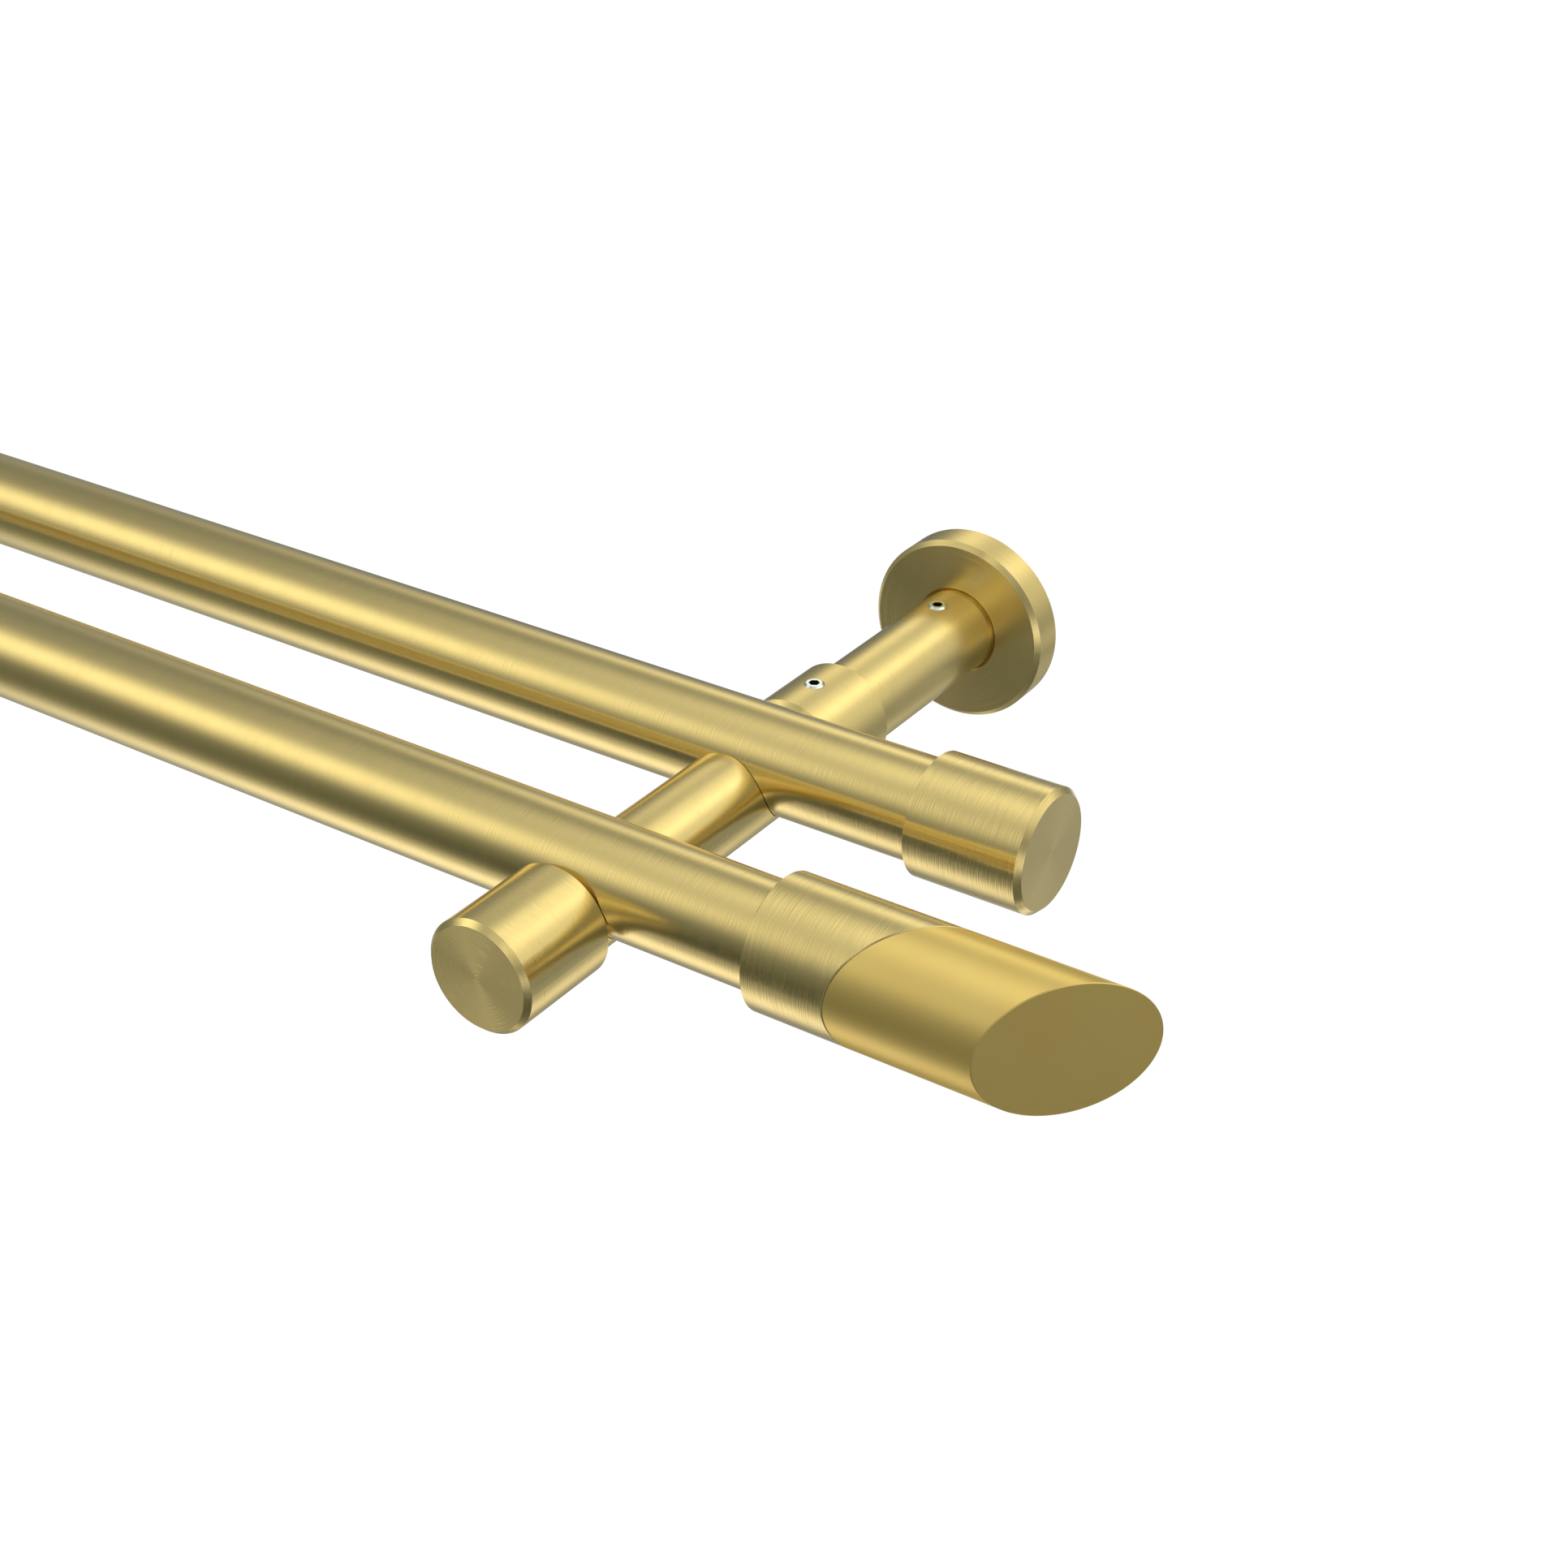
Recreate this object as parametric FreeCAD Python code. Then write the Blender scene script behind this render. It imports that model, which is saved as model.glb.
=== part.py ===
"""Double curtain rod: two round rods carried one in front of the other by two wall brackets.

The wall is the plane y = 0 and the set stands out towards -Y. The rods run along X, and +Z is up.
The origin lies on the wall, midway between the brackets, at the height of the bracket stems.
All sizes are in millimetres.
"""
import FreeCAD
import Part
import math
import os

Vector = FreeCAD.Vector

# The two rods
rod_length = 800.0
rod_diameter = 20.0
rod_wall = 1.2
rod_grip = 14.0             # length of rod that sits inside each end piece

# Where the rods lie
rear_rod_reach = 82.0       # wall to the rear rod's axis
rod_spacing = 50.0          # rear rod's axis to the front rod's axis
rod_rise = 5.0              # the rods' axes above the axis of stem and arm
end_overhang = 40.0         # bracket axis to the inner rim of every end piece

# Wall plate and the post that stands on it
plate_diameter = 35.0
plate_thickness = 3.0
plate_screw_spacing = 24.0
plate_screw_hole = 4.5
plate_countersink = 8.5
post_length = 22.0
post_tenon_diameter = 8.0
post_edge = 0.5

# Rosette that covers the wall plate
rosette_wall = 2.0
rosette_depth = 7.5
rosette_chamfer = 1.0
rosette_hole_chamfer = 0.6
plate_to_rosette = 0.5      # free play round the wall plate

# Stem, cradle arm and the connecting sleeve
arm_diameter = 18.0
stem_wall = 3.0
stem_grip = 13.0            # length of stem inside the sleeve
sleeve_wall = 2.0
sleeve_length = 19.5
sleeve_chamfer = 1.0         # on the end that faces the rods
arm_edge = 0.3

# Cap on the nose of the arm
arm_cap_wall = 2.0
arm_cap_length = 21.6
arm_cap_end = 5.0
arm_cap_chamfer = 1.0

# Cap on each end of the rear rod
rear_cap_wall = 2.0
rear_cap_length = 23.8
rear_cap_chamfer = 1.1

# Finial on each end of the front rod: a sleeve and a solid tip, both cut on the slant
finial_wall = 2.5
finial_sleeve_length = 26.2     # along the axis, rim to slanted seam
finial_tip_length = 28.0        # along the axis, seam to slanted face
seam_angle = 39.0               # slant of the seam, from square
face_angle = 39.7               # slant of the end face, from square
finial_edge = 0.15

# Grub screws with hexagon sockets
screw_diameter = 4.0
socket_across_flats = 2.0
socket_depth = 1.6
screw_chamfer = 0.4
stem_screw_length = 4.0
stem_screw_offset = 8.0         # rosette face to the stem screw's axis
sleeve_screw_length = 3.0
rod_screw_length = 4.0
screw_proud = 0.3               # socket end above the surface it is driven into

# Clearances
rod_clearance = 0.1             # all round a rod, in its cradle and its end pieces
slide_clearance = 0.05          # all round a turned piece in the bore that holds it
rosette_clearance = 0.02        # all round the stem in the rosette
thread_clearance = 0.05         # all round a grub screw in its hole
pocket_clearance = 0.3          # all round a screw's point in its pocket or groove
end_gap = 0.2                   # between faces that don't quite meet
seam_gap = 0.1                  # between finial sleeve and tip

# Worked out from the sizes above
rod_radius = rod_diameter / 2
arm_radius = arm_diameter / 2
stem_bore = arm_radius - stem_wall
post_radius = stem_bore - slide_clearance
sleeve_bore = arm_radius + slide_clearance
sleeve_radius = arm_radius + sleeve_wall
arm_cap_radius = arm_radius + arm_cap_wall
end_bore = rod_radius + rod_clearance
rear_cap_radius = rod_radius + rear_cap_wall
finial_radius = rod_radius + finial_wall
cradle_radius = rod_radius + rod_clearance
screw_radius = screw_diameter / 2
screw_hole = screw_radius + thread_clearance
rosette_hole = arm_radius + rosette_clearance
rosette_bore = plate_diameter / 2 + plate_to_rosette
rosette_radius = rosette_bore + rosette_wall

rear_y = -rear_rod_reach
front_y = rear_y - rod_spacing
sleeve_rear_y = rear_y + cradle_radius + end_gap + sleeve_length
stem_end_y = sleeve_rear_y - stem_grip
arm_tail_y = stem_end_y - end_gap
sleeve_screw_y = sleeve_rear_y - 0.75 * stem_grip    # over the stem, clear of the arm's tail
stem_screw_y = -rosette_depth - stem_screw_offset
arm_cap_rim_y = front_y - cradle_radius
arm_nose_y = arm_cap_rim_y - arm_cap_length + arm_cap_end + end_gap
stem_screw_foot = arm_radius + screw_proud - stem_screw_length
sleeve_screw_foot = sleeve_radius + screw_proud - sleeve_screw_length
rod_screw_tip = rod_rise - rod_radius

bracket_x = rod_length / 2 - rod_grip - end_overhang
seam_slope = math.tan(math.radians(seam_angle))
face_slope = math.tan(math.radians(face_angle))

OUTWARD = Vector(0, -1, 0)
UP = Vector(0, 0, 1)
DOWN = Vector(0, 0, -1)


def turned(outline, start, direction):
    """Solid turned about an axis; the outline's points are (distance along the axis, radius)."""
    corners = [Vector(along, radius, 0) for along, radius in outline]
    profile = Part.Face(Part.makePolygon(corners + corners[:1]))
    solid = profile.revolve(Vector(0, 0, 0), Vector(1, 0, 0), 360)
    turn = FreeCAD.Rotation(Vector(1, 0, 0), direction)
    solid.Placement = FreeCAD.Placement(start, turn)
    return solid


def bar(radius, length, start, direction, rear_edge=0.0, front_edge=0.0):
    """Round bar, with its end edges broken where an edge size is given."""
    outline = [(0, 0), (0, radius - rear_edge)]
    if rear_edge:
        outline.append((rear_edge, radius))
    if front_edge:
        outline.append((length - front_edge, radius))
    outline += [(length, radius - front_edge), (length, 0)]
    return turned(outline, start, direction)


def capped_bore(radius, bore, length, bore_depth, chamfer, start, direction):
    """Cup turned from bar: open at its rim, closed and chamfered at its far end."""
    outline = [
        (0, bore),
        (0, radius),
        (length - chamfer, radius),
        (length, radius - chamfer),
        (length, 0),
        (bore_depth, 0),
        (bore_depth, bore),
    ]
    return turned(outline, start, direction)


def grub_screw(length, head, direction):
    """Headless screw; direction points from its foot to its socket end, whose centre is head."""
    foot = head - direction * length
    body = bar(screw_radius, length, foot, direction, screw_chamfer, screw_chamfer)
    corner = socket_across_flats / 2 / math.cos(math.pi / 6)
    points = []
    for step in range(7):
        angle = (step + 0.5) * math.pi / 3
        points.append(Vector(corner * math.cos(angle), corner * math.sin(angle), 0))
    socket = Part.Face(Part.makePolygon(points)).extrude(Vector(0, 0, socket_depth))
    turn = FreeCAD.Rotation(Vector(0, 0, 1), direction)
    socket.Placement = FreeCAD.Placement(head - direction * socket_depth, turn)
    return body.cut(socket)


def wall_plate(x):
    """Round fixing plate with two countersunk screw holes, one above the other."""
    plate = bar(plate_diameter / 2, plate_thickness, Vector(x, 0, 0), OUTWARD)
    tenon_hole = bar(post_tenon_diameter / 2, plate_thickness, Vector(x, 0, 0), OUTWARD)
    plate = plate.cut(tenon_hole)
    sink_depth = (plate_countersink - plate_screw_hole) / 2
    hole_outline = [
        (0, 0),
        (0, plate_screw_hole / 2),
        (plate_thickness - sink_depth, plate_screw_hole / 2),
        (plate_thickness, plate_countersink / 2),
        (plate_thickness, 0),
    ]
    for z in (-plate_screw_spacing / 2, plate_screw_spacing / 2):
        plate = plate.cut(turned(hole_outline, Vector(x, 0, z), OUTWARD))
    return plate


def wall_post(x):
    """Turned post: its tenon fills the plate's centre hole, and its groove takes the stem screw."""
    groove_start = -stem_screw_y - screw_radius - pocket_clearance
    groove_end = -stem_screw_y + screw_radius + pocket_clearance
    length = plate_thickness + post_length
    outline = [
        (0, 0),
        (0, post_tenon_diameter / 2),
        (plate_thickness, post_tenon_diameter / 2),
        (plate_thickness, post_radius),
        (groove_start, post_radius),
        (groove_start, stem_screw_foot),
        (groove_end, stem_screw_foot),
        (groove_end, post_radius),
        (length - post_edge, post_radius),
        (length, post_radius - post_edge),
        (length, 0),
    ]
    return turned(outline, Vector(x, 0, 0), OUTWARD)


def rosette(x):
    """Shallow cup that slides along the stem and hides the wall plate."""
    face = rosette_depth
    outline = [
        (0, rosette_bore),
        (0, rosette_radius),
        (face - rosette_chamfer, rosette_radius),
        (face, rosette_radius - rosette_chamfer),
        (face, rosette_hole + rosette_hole_chamfer),
        (face - rosette_hole_chamfer, rosette_hole),
        (face - rosette_wall, rosette_hole),
        (face - rosette_wall, rosette_bore),
    ]
    return turned(outline, Vector(x, 0, 0), OUTWARD)


def stem(x):
    """Tube from the wall plate into the sleeve, tapped for its screw and pocketed for the sleeve's."""
    start = Vector(x, -plate_thickness, 0)
    length = -plate_thickness - stem_end_y
    tube = bar(arm_radius, length, start, OUTWARD).cut(bar(stem_bore, length, start, OUTWARD))
    tapped = bar(screw_hole, arm_radius, Vector(x, stem_screw_y, 0), UP)
    pocket_radius = screw_radius + pocket_clearance
    pocket = bar(pocket_radius, arm_radius, Vector(x, sleeve_screw_y, sleeve_screw_foot), UP)
    return tube.cut(tapped).cut(pocket)


def sleeve(x):
    """Ring that joins stem and cradle arm, tapped for the screw that grips the stem."""
    outline = [
        (0, sleeve_bore),
        (0, sleeve_radius - arm_edge),
        (arm_edge, sleeve_radius),
        (sleeve_length - sleeve_chamfer, sleeve_radius),
        (sleeve_length, sleeve_radius - sleeve_chamfer),
        (sleeve_length, sleeve_bore),
    ]
    ring = turned(outline, Vector(x, sleeve_rear_y, 0), OUTWARD)
    tapped = bar(screw_hole, 2 * sleeve_radius, Vector(x, sleeve_screw_y, 0), UP)
    return ring.cut(tapped)


def cradle_arm(x):
    """Solid round arm, cross-bored above its axis so that each rod lies in an open-topped cradle."""
    length = arm_tail_y - arm_nose_y
    arm = bar(arm_radius, length, Vector(x, arm_tail_y, 0), OUTWARD, arm_edge, arm_edge)
    across = Vector(1, 0, 0)
    for y in (rear_y, front_y):
        start = Vector(x - arm_diameter, y, rod_rise)
        arm = arm.cut(bar(cradle_radius, 2 * arm_diameter, start, across))
        arm = arm.cut(bar(screw_hole, 2 * arm_radius, Vector(x, y, 0), DOWN))
    return arm


def arm_cap(x):
    """Cap on the arm's nose; its rim stands against the front rod."""
    rim = Vector(x, arm_cap_rim_y, 0)
    depth = arm_cap_length - arm_cap_end
    return capped_bore(arm_cap_radius, sleeve_bore, arm_cap_length, depth, arm_cap_chamfer, rim, OUTWARD)


def stem_screw(x):
    return grub_screw(stem_screw_length, Vector(x, stem_screw_y, arm_radius + screw_proud), UP)


def sleeve_screw(x):
    return grub_screw(sleeve_screw_length, Vector(x, sleeve_screw_y, sleeve_radius + screw_proud), UP)


def rod_screw(x, y):
    """Screw from below, its foot against the rod."""
    return grub_screw(rod_screw_length, Vector(x, y, rod_screw_tip - rod_screw_length), DOWN)


def rod(y):
    """Thin-walled tube."""
    start = Vector(-rod_length / 2, y, rod_rise)
    along = Vector(1, 0, 0)
    tube = bar(rod_radius, rod_length, start, along)
    return tube.cut(bar(rod_radius - rod_wall, rod_length, start, along))


def rear_cap(side):
    """Plain chamfered cap, side +1 for the right-hand end and -1 for the left."""
    rim = Vector(side * (bracket_x + end_overhang), rear_y, rod_rise)
    outward = Vector(side, 0, 0)
    return capped_bore(
        rear_cap_radius, end_bore, rear_cap_length, rod_grip + end_gap, rear_cap_chamfer, rim, outward
    )


def slanted_block(side, start, start_slope, end, end_slope):
    """Block with two upright slanted faces; start and end are measured from the finial's rim."""
    reach = 2 * finial_radius
    rim = bracket_x + end_overhang
    outline = [
        (start - start_slope * reach, -reach),
        (end - end_slope * reach, -reach),
        (end + end_slope * reach, reach),
        (start + start_slope * reach, reach),
    ]
    corners = [Vector(side * (rim + along), front_y + out, rod_rise - reach) for along, out in outline]
    base = Part.Face(Part.makePolygon(corners + corners[:1]))
    return base.extrude(Vector(0, 0, 2 * reach))


def broken_rims(solid, size):
    """Break the outer edge of each slanted cut."""
    rims = []
    for edge in solid.Edges:
        box = edge.BoundBox
        closed = edge.isClosed() and box.YLength > 2 * finial_radius - size
        if closed and box.XLength > finial_radius:
            rims.append(edge)
    return solid.makeChamfer(size, rims)


def finial_bar(side, radius, start, end, rim_edge=0.0):
    """Round bar along the finial's axis; start and end are measured from its rim."""
    rim = bracket_x + end_overhang
    base = Vector(side * (rim + start), front_y, rod_rise)
    return bar(radius, end - start, base, Vector(side, 0, 0), rim_edge)


def finial_sleeve(side):
    """Sleeve over the rod's end, cut on the slant where the tip begins."""
    seam = finial_sleeve_length
    reach = seam + (seam_slope + 1) * finial_radius
    body = finial_bar(side, finial_radius, 0, reach, finial_edge)
    body = body.common(slanted_block(side, -reach, 0, seam, seam_slope))
    return broken_rims(body, finial_edge).cut(finial_bar(side, end_bore, 0, reach))


def finial_tip(side):
    """Solid tip: both its ends are slanted, and a spigot holds it in the sleeve."""
    seam = finial_sleeve_length + seam_gap
    face = finial_sleeve_length + finial_tip_length
    reach = face + (face_slope + 1) * finial_radius
    body = finial_bar(side, finial_radius, 0, reach)
    body = body.common(slanted_block(side, seam, seam_slope, face, face_slope))
    spigot = finial_bar(side, rod_radius, rod_grip + end_gap, (seam + face) / 2)
    return broken_rims(body, finial_edge).fuse(spigot)


def bracket_pieces(hand, x):
    """All the pieces of one wall bracket, by name."""
    return {
        "wall_plate_" + hand: wall_plate(x),
        "wall_post_" + hand: wall_post(x),
        "rosette_" + hand: rosette(x),
        "stem_" + hand: stem(x),
        "stem_screw_" + hand: stem_screw(x),
        "connecting_sleeve_" + hand: sleeve(x),
        "sleeve_screw_" + hand: sleeve_screw(x),
        "cradle_arm_" + hand: cradle_arm(x),
        "rear_rod_screw_" + hand: rod_screw(x, rear_y),
        "front_rod_screw_" + hand: rod_screw(x, front_y),
        "arm_cap_" + hand: arm_cap(x),
    }


def end_pieces(hand, side):
    """The end pieces of both rods at one end, by name."""
    return {
        "rear_rod_cap_" + hand: rear_cap(side),
        "finial_sleeve_" + hand: finial_sleeve(side),
        "finial_tip_" + hand: finial_tip(side),
    }


pieces = {"rear_rod": rod(rear_y), "front_rod": rod(front_y)}
for hand, side in (("right", 1), ("left", -1)):
    pieces.update(bracket_pieces(hand, side * bracket_x))
    pieces.update(end_pieces(hand, side))

os.makedirs("parts", exist_ok=True)
for name, shape in pieces.items():
    solids = shape.Solids
    if len(solids) != 1 or not shape.isValid():
        print("check", name, "solids", len(solids), "valid", shape.isValid())
    solids[0].exportStep("parts/" + name + ".step")
print(len(pieces), "pieces written")
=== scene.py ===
# %% [markdown]
# # A double curtain rod in brushed brass
#
# Two 20 mm rods run one in front of the other, carried by a bracket near each end. Everything
# on the bracket is turned on a lathe: the rosette that hides the wall plate, the stem, the
# sleeve that joins stem and arm, the arm with its two cross-bored cradles, and the cap on its
# nose. The rear rod ends in plain caps. The front rod ends in a brushed sleeve and a smooth tip
# that are both cut on the slant.
#
# The shapes come finished from the CAD model, so this lesson is about finish and light. A
# polished or brushed metal has hardly any colour of its own to show: what we see is its
# surroundings, tinted. Half of the work below is therefore a small photographic studio.

# %% Load the model
import math

import bpy
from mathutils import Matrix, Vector


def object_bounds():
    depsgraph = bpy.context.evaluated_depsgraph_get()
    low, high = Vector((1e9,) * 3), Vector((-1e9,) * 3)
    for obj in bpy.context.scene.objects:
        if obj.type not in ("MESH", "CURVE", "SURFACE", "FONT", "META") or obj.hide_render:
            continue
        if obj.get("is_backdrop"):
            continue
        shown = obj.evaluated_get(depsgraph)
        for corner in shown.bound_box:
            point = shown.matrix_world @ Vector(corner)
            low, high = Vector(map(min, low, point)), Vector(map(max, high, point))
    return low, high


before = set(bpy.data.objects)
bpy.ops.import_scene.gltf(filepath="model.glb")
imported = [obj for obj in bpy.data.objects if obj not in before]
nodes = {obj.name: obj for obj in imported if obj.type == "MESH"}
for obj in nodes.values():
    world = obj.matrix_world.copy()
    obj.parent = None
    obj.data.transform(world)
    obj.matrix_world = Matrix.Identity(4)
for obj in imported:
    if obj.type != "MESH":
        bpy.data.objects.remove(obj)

cad_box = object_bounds()
low, high = [[round(c, 4) for c in corner] for corner in cad_box]
print(len(nodes), "pieces in a box from", low, "to", high)

# %% [markdown]
# ## The camera
#
# Three-quarter product shots are taken with a fairly long lens, so that round parts don't
# bulge. The camera could be pointed at the object with a Track To constraint. It is written
# here as an azimuth, an elevation and a place instead, because those are the numbers that a
# fitted photograph gives, and they put each edge where the lens really saw it.

# %% Camera
CAMERA_PLACE = Vector((0.57770, -0.41394, 0.234945))
CAMERA_AZIMUTH = math.radians(34.1531)
CAMERA_ELEVATION = math.radians(30.3248)
IMAGE_PIXELS = 1932
FOCAL_PIXELS = 3024.09
SENSOR = 36.0                                   # mm


def direction(azimuth, elevation):
    """Unit vector to a point of the compass: azimuth 0 is -Y, 90 is +X; angles in radians."""
    level = math.cos(elevation)
    return Vector((math.sin(azimuth) * level, -math.cos(azimuth) * level, math.sin(elevation)))


lens = bpy.data.cameras.new("studio_camera")
lens.sensor_width = SENSOR
lens.lens = FOCAL_PIXELS / IMAGE_PIXELS * SENSOR
lens.clip_start = 0.01
lens.clip_end = 100.0
camera = bpy.data.objects.new("studio_camera", lens)
bpy.context.scene.collection.objects.link(camera)
camera.location = CAMERA_PLACE
camera.rotation_mode = "QUATERNION"
view = -direction(CAMERA_AZIMUTH, CAMERA_ELEVATION)
camera.rotation_quaternion = view.to_track_quat("-Z", "Y")
bpy.context.scene.camera = camera
bpy.context.scene.view_settings.view_transform = "Standard"
print("lens", round(lens.lens, 3), "mm")

# %% [markdown]
# ## Three small helpers
#
# Colours are easiest to read as the hex values of a paint chip, but shaders calculate in
# linear light, so one function converts them. Node trees are easiest to read when each node
# is one statement with its settings and its links, so one function adds a node of any kind.
# The third one makes the empty material that each finish starts from.

# %% Helpers


def linear(code):
    """Linear RGBA of an sRGB hex colour such as "E7D497"."""
    parts = [int(code[i:i + 2], 16) / 255 for i in (0, 2, 4)]
    light = [p / 12.92 if p <= 0.04045 else ((p + 0.055) / 1.055) ** 2.4 for p in parts]
    return (*light, 1.0)


def add(tree, kind, links=None, **settings):
    """Adds a node; links maps an input's name or number to a socket or to a plain value."""
    node = tree.nodes.new(kind)
    for key, value in settings.items():
        setattr(node, key, value)
    for key, value in (links or {}).items():
        if isinstance(value, bpy.types.NodeSocket):
            tree.links.new(value, node.inputs[key])
        else:
            node.inputs[key].default_value = value
    return node


def new_material(name):
    """An empty material and its output node."""
    material = bpy.data.materials.new(name)
    material.use_nodes = True
    material.node_tree.nodes.clear()
    return material, material.node_tree.nodes.new("ShaderNodeOutputMaterial")


print("the brass E7D497 in linear light", [round(c, 3) for c in linear("E7D497")])

# %% [markdown]
# ## White all round
#
# The object is shown on plain white, the way catalogues print it. A white world of strength 1
# does that without adding any drama: it is the backdrop, and it lights dull surfaces evenly, at
# a level where a colour looks as it is written. A photograph of a white room would do it too,
# but would bring its windows along.

# %% White world
WHITE = (1.0, 1.0, 1.0, 1.0)
world = bpy.data.worlds.new("white_surroundings")
world.use_nodes = True
world.node_tree.nodes.clear()
sky = add(world.node_tree, "ShaderNodeBackground", {"Color": WHITE, "Strength": 1.0})
add(world.node_tree, "ShaderNodeOutputWorld", {"Surface": sky.outputs[0]})
bpy.context.scene.world = world
print("world", world.name)

# %% [markdown]
# ## A white floor
#
# The floor is one large square, as far below as it is under a real curtain rod. Photographers
# let a sheet of paper curve up behind the object to hide the horizon. That isn't needed here,
# because the white world goes on where the square ends. A floor that is only lit reaches the
# brightness of its own paint. So the missing fifth is added as a glow for the rays that look at
# it straight, in a mirror or through glass, and the object's own soft shadow stays on it.

# %% White floor
FLOOR_DROP = 2.4                                # m
FLOOR_HALF = 20.0                               # m, half the side of the square
FLOOR_PAINT = 0.8
FLOOR_SEEN = 1.02                               # a trace over white, so that it prints as white

floor_mesh = bpy.data.meshes.new("floor")
square = ((-1, -1), (1, -1), (1, 1), (-1, 1))
corners = [(x * FLOOR_HALF, y * FLOOR_HALF, -FLOOR_DROP) for x, y in square]
floor_mesh.from_pydata(corners, [], [(0, 1, 2, 3)])
floor = bpy.data.objects.new("floor", floor_mesh)
bpy.context.scene.collection.objects.link(floor)
floor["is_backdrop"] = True

floor_paint, floor_out = new_material("white_floor_paint")
tree = floor_paint.node_tree
path = add(tree, "ShaderNodeLightPath")
seen = add(
    tree, "ShaderNodeMath",
    {0: path.outputs["Is Camera Ray"], 1: path.outputs["Is Glossy Ray"]}, operation="ADD",
)
seen = add(
    tree, "ShaderNodeMath",
    {0: seen.outputs[0], 1: path.outputs["Is Transmission Ray"]}, operation="ADD",
)
top_up = add(
    tree, "ShaderNodeMath", {0: seen.outputs[0], 1: FLOOR_SEEN - FLOOR_PAINT}, operation="MULTIPLY"
)
matt = add(tree, "ShaderNodeBsdfDiffuse", {"Color": (FLOOR_PAINT, FLOOR_PAINT, FLOOR_PAINT, 1.0)})
shine = add(tree, "ShaderNodeEmission", {"Color": WHITE, "Strength": top_up.outputs[0]})
both = add(tree, "ShaderNodeAddShader", {0: matt.outputs[0], 1: shine.outputs[0]})
tree.links.new(both.outputs[0], floor_out.inputs["Surface"])
floor_mesh.materials.append(floor_paint)
print("floor", FLOOR_DROP, "m below the brackets")

# %% [markdown]
# ## A light tent with lamps behind it
#
# Brass in a room that is white everywhere looks flat and pale, because every part of it
# mirrors the same thing. Photographers stand a tent of grey cloth round such work and put
# lamps behind the cloth: the lamps become soft bright patches, the bare cloth gives the middle
# tones, and dark cards give the deep edges that make a round bar look round. Each lamp could be
# an area light. One tent whose cloth is brighter where a lamp stands behind it is calmer,
# because no patch has an edge and nothing but the metal sees it.
#
# A lamp is an azimuth and elevation as seen from the bracket, the angular radius of its patch
# across and up, and the brightness that it adds. A dark card takes a share of each colour away
# instead. The cloth is a grey with hardly any colour, a trace greener than neutral, which turns
# the shaded side of the brass olive. The lamps are warm, which makes the highlights golden, and
# those below the object lean to peach, which warms the lower edge of each bar.

# %% Cloth, cards and lamps
CLOTH = [                                       # elevation in degrees, brightness of the bare cloth
    (-90, 0.022), (-75, 0.251), (-60, 0.273), (-45, 0.351), (-30, 0.340), (-15, 0.259), (0, 0.271),
    (15, 0.292), (30, 0.227), (45, 0.325), (60, 0.380), (75, 0.257), (90, 0.566),
]
CLOTH_TINT = (0.97, 1.00, 0.91)
LAMP_TINT = (1.09, 1.00, 0.74)
LOW_LAMP_TINT = (1.06, 0.96, 0.84)
DARK_CARDS = {                                  # azimuth, elevation, across, up, share taken away
    "front": (-30.3, -16.5, 60.0, 28.9, (0.33, 0.33, 0.46)),
    "front_left": (-30.5, -24.5, 6.0, 21.2, (0.86, 0.86, 0.86)),
    "rear_left": (-143.4, -20.6, 7.8, 14.1, (0.98, 0.91, 0.48)),
    "below": (40.5, -48.6, 39.6, 27.4, (0.67, 0.66, 0.73)),
    "top": (-5.9, 59.2, 5.0, 5.7, (0.89, 0.98, 0.98)),
}
LAMPS = {                                       # azimuth, elevation, across, up, brightness
    "key": (-54.4, 30.5, 19.3, 16.6, 1.241),
    "key_side": (-10.3, 32.7, 11.0, 12.5, 0.423),
    "front_fill": (20.9, 28.9, 10.8, 14.1, 0.868),
    "front_side": (37.3, 19.2, 6.4, 12.2, 0.341),
    "front_top": (6.4, 54.7, 9.4, 16.1, 0.494),
    "right_low": (60.2, -8.5, 16.8, 11.8, 0.881),
    "right_high": (123.2, 47.6, 39.6, 50.0, 0.778),
    "rear_right": (155.2, 36.5, 13.1, 9.3, 0.839),
    "rear_right_low": (154.4, -16.2, 4.0, 5.9, 1.506),
    "rear_top": (175.0, 53.6, 11.4, 14.5, 0.371),
    "rear_left": (-156.1, 26.6, 16.5, 12.2, 0.972),
    "rear_left_low": (-147.7, -24.1, 33.5, 7.7, 0.683),
    "top_left": (-84.3, 71.4, 24.7, 13.7, 0.758),
    "floor_left": (-65.3, -55.4, 17.1, 18.0, 1.116),
    "floor_front": (-36.3, -37.0, 4.0, 4.3, 0.256),
    "floor_right": (105.4, -60.0, 4.8, 5.3, 0.733),
    "floor_rear": (152.8, -57.4, 14.0, 18.0, 0.887),
    "floor": (-63.8, -86.5, 37.3, 4.0, 0.521),
}
print(len(LAMPS), "lamps and", len(DARK_CARDS), "dark cards")

# %% [markdown]
# ## How bright the tent is in one direction
#
# Light that comes through cloth fades softly from the middle of its patch, like a bell curve,
# and the bare cloth changes slowly from floor to top. Adding up both for one direction gives
# the colour of one point of the tent. A painted picture of the tent could hold the same, but a
# list of lamps can be moved one by one.

# %% Brightness in one direction
GRAZING = 0.05                                  # a ray further round than this misses the patch


def cloth_brightness(elevation):
    """Brightness of the bare cloth, read off the list between its two nearest rows."""
    for (low, dim), (high, bright) in zip(CLOTH, CLOTH[1:]):
        if elevation <= high:
            return dim + (bright - dim) * (elevation - low) / (high - low)
    return CLOTH[-1][1]


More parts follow.
